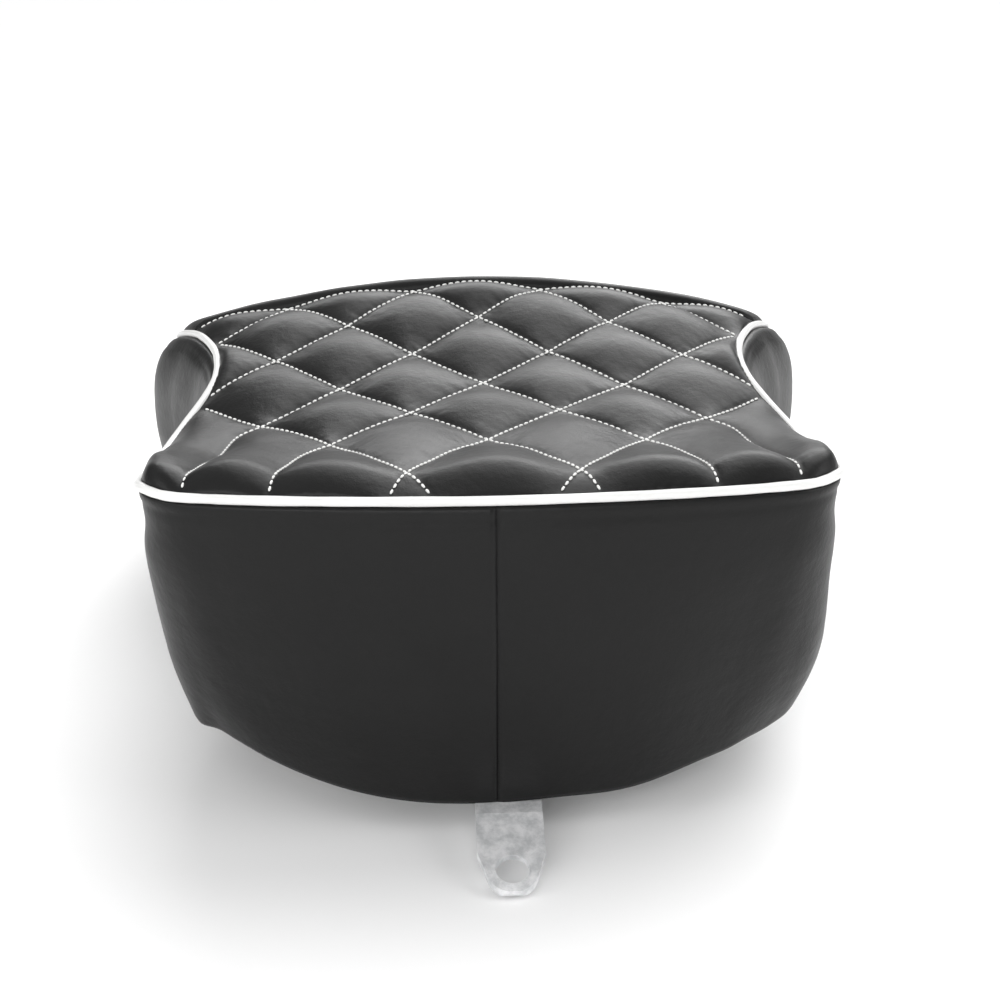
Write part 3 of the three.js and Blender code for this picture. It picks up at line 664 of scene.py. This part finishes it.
def sew(rows, name, thread_material, thread):
    """Lays one stitch after another along each row of points, given in stations.

    They are made a few at a time, since adding to a large mesh is slow.
    """
    bm = bmesh.new()
    for row in rows:
        line = to_part(row)
        run = np.concatenate([[0], np.cumsum(np.linalg.norm(np.diff(line, axis=0), axis=1))]) * 1000
        starts = np.arange(0, run[-1] - STITCH, STITCH)
        for first in range(0, len(starts), 24):
            few = bmesh.new()
            for start in starts[first:first + 24]:
                ends = [Vector([np.interp(start + share * STITCH, run, line[:, axis])
                                for axis in range(3)]) for share in (0.12, 0.88)]
                along = ends[1] - ends[0]
                turn = along.to_track_quat("X", "Z").to_matrix().to_4x4()
                scale = Matrix.Diagonal((along.length / 2, thread / 1000, thread / 1000, 1))
                bmesh.ops.create_uvsphere(
                    few, u_segments=6, v_segments=4, radius=1,
                    matrix=Matrix.Translation((ends[0] + ends[1]) / 2) @ turn @ scale
                    @ Matrix.Rotation(math.pi / 2, 4, "Y"))
            sewn = bpy.data.meshes.new("few")
            few.to_mesh(sewn)
            few.free()
            bm.from_mesh(sewn)
            bpy.data.meshes.remove(sewn)
    return finish_piece(bm, name, thread_material)


WIDEST = 190.0  # rows are looked for this far to either side of the middle


def quilting_rows():
    """Every row of quilting behind the crest, as (x, station, height) points."""
    station = np.arange(2, CREST - 4, 0.5)
    for family in (0, 1):
        for count in range(-8, 9):
            low, high = np.full(len(station), -WIDEST), np.full(len(station), WIDEST)
            for _ in range(28):
                x = (low + high) / 2
                past = diamond_places(x, station)[family] > count
                low, high = np.where(past, low, x), np.where(past, x, high)
            widest_here = np.minimum(half_width(station) - 3, WIDEST - 1)
            on_panel = np.flatnonzero(np.abs(x) < widest_here)
            for piece in np.split(on_panel, np.flatnonzero(np.diff(on_panel) > 1) + 1):
                if len(piece) > 12:
                    line = np.stack([x[piece], station[piece]], axis=1)
                    line = line[inside_of(line) > 2]
                    height = panel_top(*line.T, inside_of(line)) + LIES_ABOVE
                    yield np.column_stack([line, height])


def cross_row(station):
    x = np.linspace(-half_width(station) + 4, half_width(station) - 4, 400)
    line = np.stack([x, np.full_like(x, station)], axis=1)
    return np.column_stack([line, panel_top(*line.T, inside_of(line)) + LIES_ABOVE])


quilting_thread = sew(
    [*quilting_rows(), cross_row(CREST - 4)], "quilting_thread", white_thread, THREAD)


def edge_rows():
    """The row under the piping on each side, and the row down the tail seam."""
    share = np.full(3000, TOP_ROW / SKIN_DEPTH)
    places = np.linspace(0.15, SPANS / 2 - 0.15, 3000)
    for side in (1, -1):
        yield (side_skin(places, share, side) + outward(places) * 0.25) * (side, 1, 1)
    down = np.linspace(0.06, 0.97, 400)
    beside = np.full(400, 0.05)
    yield side_skin(beside, down, 1) + outward(beside) * 0.2


edge_thread = sew(edge_rows(), "edge_thread", charcoal_thread, FINE_THREAD)

# ---- Staples
# Galvanised wire staples through the hem into the pan, about every 18 mm.
staple_wire = new_material("staple_wire", (0.55, 0.55, 0.56), 0.35, Metallic=1.0)
to_shader(staple_wire, "Roughness", ramp(
    staple_wire, object_noise(staple_wire, 600, 2), 0.3, 0.7, 0.28, 0.45))
STAPLE_SPACING = 18
bm = bmesh.new()
round_pan = np.linspace(0, SPANS, 4000)
lower = round_seat(LOWER_EDGE, round_pan) - outward(round_pan) * 12
run = np.concatenate([[0], np.cumsum(np.linalg.norm(np.diff(lower[:, :2], axis=0), axis=1))])
for length in np.arange(STAPLE_SPACING / 2, run[-1], STAPLE_SPACING):
    x, station = (np.interp(length, run, lower[:, axis]) for axis in (0, 1))
    ahead = [np.interp(length + 1, run, lower[:, axis]) for axis in (0, 1)]
    under = pan_under([x], [station])[0]
    beside_tab = abs(x) < 26 and station < 100
    if np.isnan(under) or beside_tab:
        continue
    middle = Vector(to_part((x, station, under - 2.2)))
    turn = Matrix.Rotation(math.atan2(ahead[1] - station, ahead[0] - x), 4, "Z")
    made = bmesh.ops.create_cube(bm, size=1, matrix=Matrix.Translation(middle) @ turn
                                 @ Matrix.Diagonal((0.010, 0.0013, 0.0009, 1)))
    edges = list({edge for vertex in made["verts"] for edge in vertex.link_edges})
    bmesh.ops.bevel(bm, geom=edges, offset=0.0003, segments=1, profile=0.5, affect="EDGES", material=-1)
staples = finish_piece(bm, "staples", staple_wire, smooth=False)

# ---- Floor and light
# A plain white floor under two broad, soft suns, one from ahead and one from behind, with a soft box
# ahead of the nose, one on either side and one behind the tail.
bm = bmesh.new()
bmesh.ops.create_grid(
    bm, x_segments=1, y_segments=1, size=3000, matrix=Matrix.Translation((0, 0, -0.0002)))
floor = new_object(bm, "floor", new_material("white_floor", (0.90, 0.90, 0.90), 0.9))

world = bpy.data.worlds.new("studio")
bpy.context.scene.world = world
world.use_nodes = True
world.node_tree.nodes["Background"].inputs["Color"].default_value = (1, 1, 1, 1)
world.node_tree.nodes["Background"].inputs["Strength"].default_value = 0.2
bpy.context.scene.view_settings.view_transform = "Standard"


def new_lamp(name, kind, power, toward):
    """A lamp that shines from the direction `toward` onto the seat."""
    lamp = bpy.data.objects.new(name, bpy.data.lights.new(name, kind))
    lamp.data.energy = power
    bpy.context.collection.objects.link(lamp)
    lamp.rotation_euler = toward.to_track_quat("Z", "Y").to_euler()
    return lamp


def soft_sun(name, toward, wide, strength):
    new_lamp(name, "SUN", strength, Vector(toward)).data.angle = math.radians(wide)


SEAT_MIDDLE = Vector((0, -0.1, 0.15))


def soft_box(name, place, size, power):
    lamp = new_lamp(name, "AREA", power, Vector(place) - SEAT_MIDDLE)
    lamp.data.shape = "RECTANGLE"
    lamp.data.size, lamp.data.size_y = size
    lamp.location = place
    lamp.visible_camera = False


soft_sun("key", (0.4, 0.75, 1.0), 60, 2.8)
soft_sun("fill", (-0.5, -0.2, 1.0), 90, 0.9)
soft_box("front_box", (0.2, 2.4, 1.3), (2.6, 0.9), 26)
soft_box("right_box", (1.7, -0.7, 0.9), (0.9, 1.1), 12)
soft_box("left_box", (-1.8, -0.9, 1.0), (0.6, 1.0), 6)
soft_box("rear_box", (-0.6, -2.3, 1.0), (2.4, 0.7), 30)
